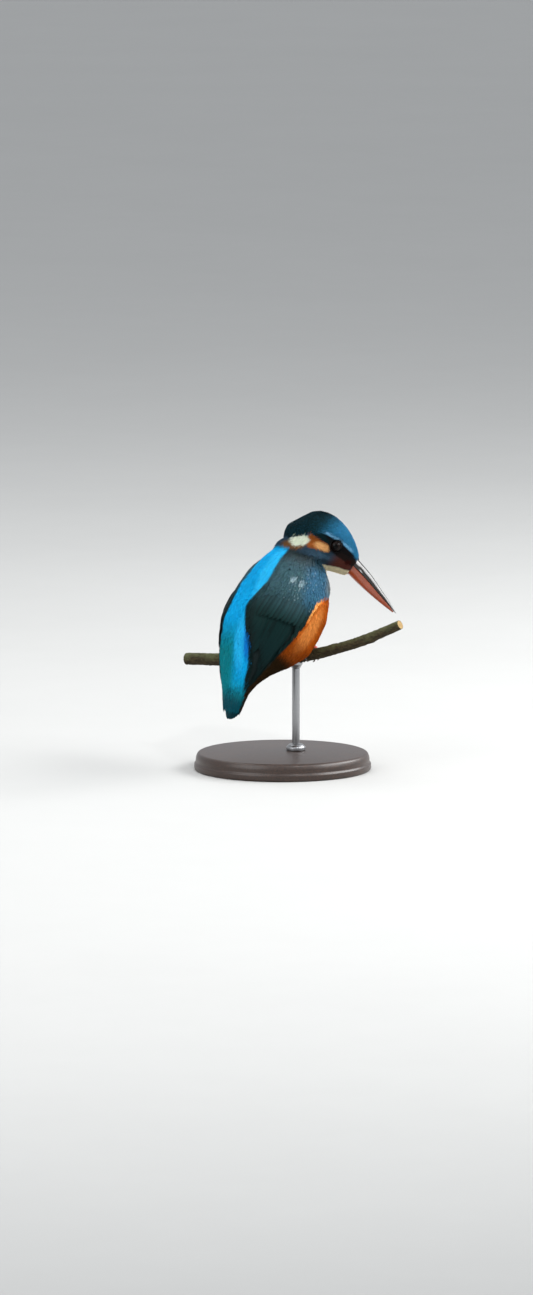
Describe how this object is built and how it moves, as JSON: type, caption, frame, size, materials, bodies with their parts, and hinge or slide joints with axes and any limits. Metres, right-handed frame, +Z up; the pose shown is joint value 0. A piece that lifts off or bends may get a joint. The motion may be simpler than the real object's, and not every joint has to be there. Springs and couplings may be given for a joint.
{
  "type": "common kingfisher on a perch",
  "caption": "Life-size still model of a common kingfisher gripping a short cut branch, head turned and looking down, held up by a round stand with one rod.",
  "frame": {"origin": "centre of the stand base's flat underside", "axes": "+Z up, +X the way the bird's body faces, +Y the bird's left; the head is turned about 50 degrees to the bird's right"},
  "size_m": [0.0948, 0.1224, 0.1337],
  "materials": {
    "plumage_crown": "dark blue-green feathers with pale blue bars",
    "plumage_wing": "dark green-blue feathers with a satin sheen",
    "plumage_back": "bright azure feathers with a satin sheen",
    "plumage_belly": "soft matt orange feathers",
    "plumage_tail": "deep blue feathers",
    "bill_upper": "glossy black horn",
    "bill_lower": "glossy red-brown horn",
    "eye": "wet dark brown",
    "foot": "scaly orange-red skin",
    "claw": "dark horn",
    "bark": "rough grey-brown bark with green algae",
    "stand_wood": "dark stained, satin lacquer",
    "stand_steel": "brushed"
  },
  "bodies": {
    "root": {"trunk": "plumage_back", "neck": "plumage_crown", "head": "plumage_crown", "bill_upper": "bill_upper", "bill_lower": "bill_lower", "tail": "plumage_tail", "wing_right": "plumage_wing", "wing_left": "plumage_wing", "eye_right": "eye", "eye_left": "eye", "foot_right": "foot", "foot_left": "foot", "claw_right_inner": "claw", "claw_right_middle": "claw", "claw_right_outer": "claw", "claw_right_hind": "claw", "claw_left_inner": "claw", "claw_left_middle": "claw", "claw_left_outer": "claw", "claw_left_hind": "claw", "perch": "bark", "stand_base": "stand_wood", "stand_collar": "stand_steel", "stand_rod": "stand_steel", "stand_cradle": "stand_steel"}
  },
  "joints": []
}
